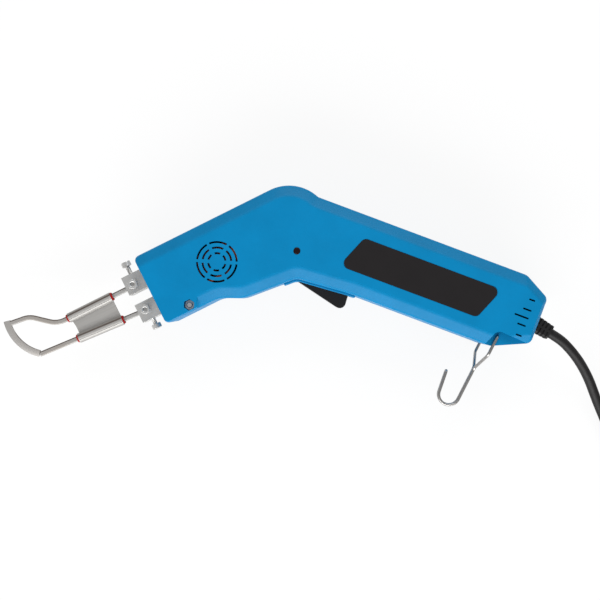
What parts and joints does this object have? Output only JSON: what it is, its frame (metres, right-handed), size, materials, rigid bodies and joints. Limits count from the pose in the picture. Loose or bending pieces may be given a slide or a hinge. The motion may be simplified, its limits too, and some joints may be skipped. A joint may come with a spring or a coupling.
{
  "type": "electric hot knife",
  "caption": "Corded hot knife with a bent pistol housing, clamped sled-foot blade, shield, trigger and hanging hook.",
  "frame": {"origin": "on the flat right face of the housing, where the middle lines of barrel and grip cross", "axes": "+X from the blade towards the cord, +Y up the housing, +Z out of the left face; lies on its right side"},
  "size_m": [0.4855, 0.2202, 0.0463],
  "materials": {
    "blue_plastic": "fine moulded grain, satin",
    "black_plastic": "moulded, satin",
    "label_black": "printed plate, semi-gloss, bare",
    "lens_red": "dark translucent",
    "lamp_glass": "clear",
    "screw_steel": "zinc plated",
    "nickel": "nickel plated, satin",
    "blade_steel": "ground, light heat tint",
    "stainless": "rolled sheet",
    "wire_steel": "drawn bright wire",
    "core_iron": "varnished laminations",
    "bobbin_cream": "moulded",
    "copper": "enamelled copper",
    "insulator_tan": "pressed fibre board",
    "sleeve_red": "woven heat sleeve",
    "wire_brown": "insulation",
    "wire_blue": "insulation",
    "black_rubber": "extruded sheath"
  },
  "bodies": {
    "housing": {"left_shell": "blue_plastic", "right_shell": "blue_plastic", "front_insulator": "insulator_tan", "label_plate": "label_black", "indicator_lens": "lens_red", "indicator_lamp": "lamp_glass", "housing_screws": "screw_steel", "through_bolt": "screw_steel", "through_nut": "screw_steel", "transformer_core": "core_iron", "transformer_bobbin": "bobbin_cream", "inner_winding": "copper", "outer_winding": "copper", "secondary_loop": "copper", "terminal_upper": "nickel", "terminal_lower": "nickel", "edge_clamp_screws": "nickel", "face_clamp_screws": "nickel", "blade": "blade_steel", "blade_shield": "stainless", "sleeve_upper": "sleeve_red", "sleeve_lower": "sleeve_red", "switch_body": "black_plastic", "trigger_pin": "screw_steel", "live_wire": "wire_brown", "neutral_wire": "wire_blue", "switched_wire": "black_rubber", "cord_clamp": "black_plastic", "cord_clamp_screws": "screw_steel", "strain_relief": "black_rubber", "cord_lead": "black_rubber", "cord_coil": "black_rubber", "cable_tie": "black_plastic", "cord_tail": "black_rubber", "plug_body": "black_rubber", "plug_pins": "nickel"},
    "trigger": {"trigger": "black_plastic"},
    "plunger": {"switch_plunger": "bobbin_cream"},
    "hook": {"hanging_hook": "wire_steel"}
  },
  "joints": [
    {"name": "trigger_pull", "type": "hinge", "parent": "housing", "child": "trigger", "pos_m": [0.011, -0.0265, 0.023], "axis": [0, 0, 1], "range_deg": [0, 8], "stiffness_Nm_per_rad": 0.5, "springref_deg": -5.73},
    {"name": "plunger_slide", "type": "slide", "parent": "housing", "child": "plunger", "axis": [0.2857, 0.9583, 0], "range_m": [0, 0.0031]},
    {"name": "hook_swing", "type": "hinge", "parent": "housing", "child": "hook", "pos_m": [0.12531, -0.06404, 0.023], "axis": [0, 0, 1], "range_deg": [-10, 80]}
  ],
  "couplings": [
    {"joint": "plunger_slide", "follows": "trigger_pull", "m_per_rad": 0.022}
  ]
}
